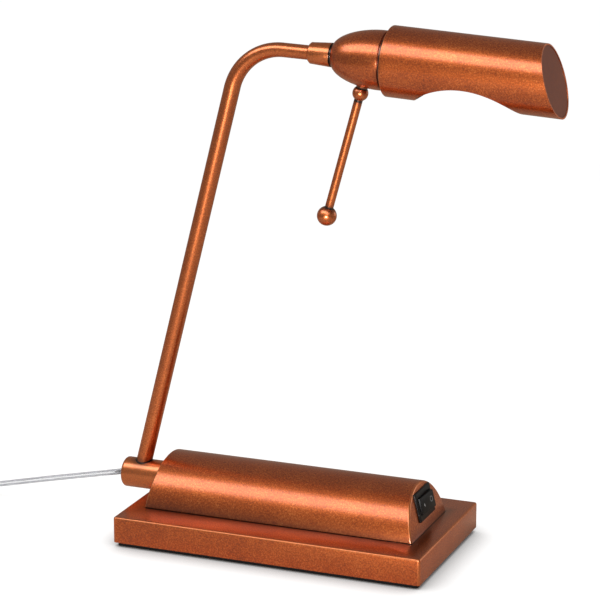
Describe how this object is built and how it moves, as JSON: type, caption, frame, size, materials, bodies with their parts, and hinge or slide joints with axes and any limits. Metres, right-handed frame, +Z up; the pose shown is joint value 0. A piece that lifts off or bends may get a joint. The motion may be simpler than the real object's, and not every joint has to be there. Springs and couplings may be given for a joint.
{
  "type": "piano lamp",
  "caption": "Piano lamp: long weighted base with half-round housing and rocker switch, swing arm on a side hub, turning tubular shade with scooped underside and a handle.",
  "frame": {"origin": "on the table under the middle of the base", "axes": "+X along the base from the hub end to the switch end, +Y from the front of the lamp to its back, +Z up"},
  "size_m": [0.5801, 0.1112, 0.3248],
  "materials": {
    "copper": "antique copper lacquer with a fine mottle, satin",
    "rim_brown": "flat brown lacquer",
    "black_pad": "matte black",
    "black_switch": "black, semi-gloss",
    "black_plastic": "black moulded, matte",
    "clear_cord": "clear sleeve over silvery strands, glossy",
    "clear_plug": "clear moulded, glossy",
    "steel": "zinc plated",
    "cast_iron": "raw casting",
    "brass": "bare brass",
    "white_plastic": "white moulded",
    "wire_sleeve": "insulated wire",
    "nickel": "nickel plated",
    "bulb_glass": "clear glass"
  },
  "bodies": {
    "base": {"base_pad": "black_pad", "base_shell": "copper", "base_weight": "cast_iron", "cover_shell": "copper", "cover_straps": "steel", "cover_screws": "steel", "pivot_bracket": "steel", "bracket_screws": "steel", "pivot_bush": "brass", "terminal_block": "white_plastic", "terminal_screws": "steel", "cord_clamp": "black_plastic", "clamp_screws": "steel", "switch_housing": "black_switch", "switch_terminals": "brass", "mains_wires": "wire_sleeve", "lamp_wires": "wire_sleeve", "switch_wires": "wire_sleeve", "cord_tail": "clear_cord", "mains_cord": "clear_cord", "cord_coil": "clear_cord", "plug_cord": "clear_cord", "plug_body": "clear_plug", "plug_relief": "clear_plug", "plug_pins": "nickel"},
    "arm": {"pivot_barrel": "copper", "pivot_nipple": "steel", "friction_washer": "black_plastic", "pivot_spring": "steel", "pivot_nuts": "steel", "stop_pin": "steel", "cord_grommet": "black_plastic", "arm_tube": "copper", "arm_lead": "wire_sleeve", "arm_collar": "copper", "collar_screw": "steel"},
    "head": {"head_nipple": "brass", "head_nut": "brass", "head_dome": "copper", "handle_stud": "steel", "handle_nut": "steel", "handle_spacer": "copper", "handle_small_ball": "copper", "handle_rod": "copper", "handle_knob": "copper", "lampholder_cap": "black_plastic", "lampholder_skirt": "black_plastic", "lampholder_sleeve": "brass", "lampholder_contact": "brass", "shade_ring": "black_plastic", "shade_tube": "copper", "shade_end_cap": "rim_brown", "bulb_cap": "nickel", "bulb_glass": "bulb_glass", "bulb_contact": "brass"},
    "rocker": {"switch_rocker": "black_switch"}
  },
  "joints": [
    {"name": "arm_swing", "type": "hinge", "parent": "base", "child": "arm", "pos_m": [-0.10626, 0, 0.0296], "axis": [1, 0, 0], "range_deg": [-60, 60]},
    {"name": "head_turn", "type": "hinge", "parent": "arm", "child": "head", "pos_m": [0.02261, 0, 0.3051], "axis": [0.9992, 0, -0.0391], "range_deg": [-90, 90]},
    {"name": "switch_rock", "type": "hinge", "parent": "base", "child": "rocker", "pos_m": [0.08244, 0, 0.03435], "axis": [-0.2487, 0, 0.9686], "range_deg": [0, 11]}
  ]
}
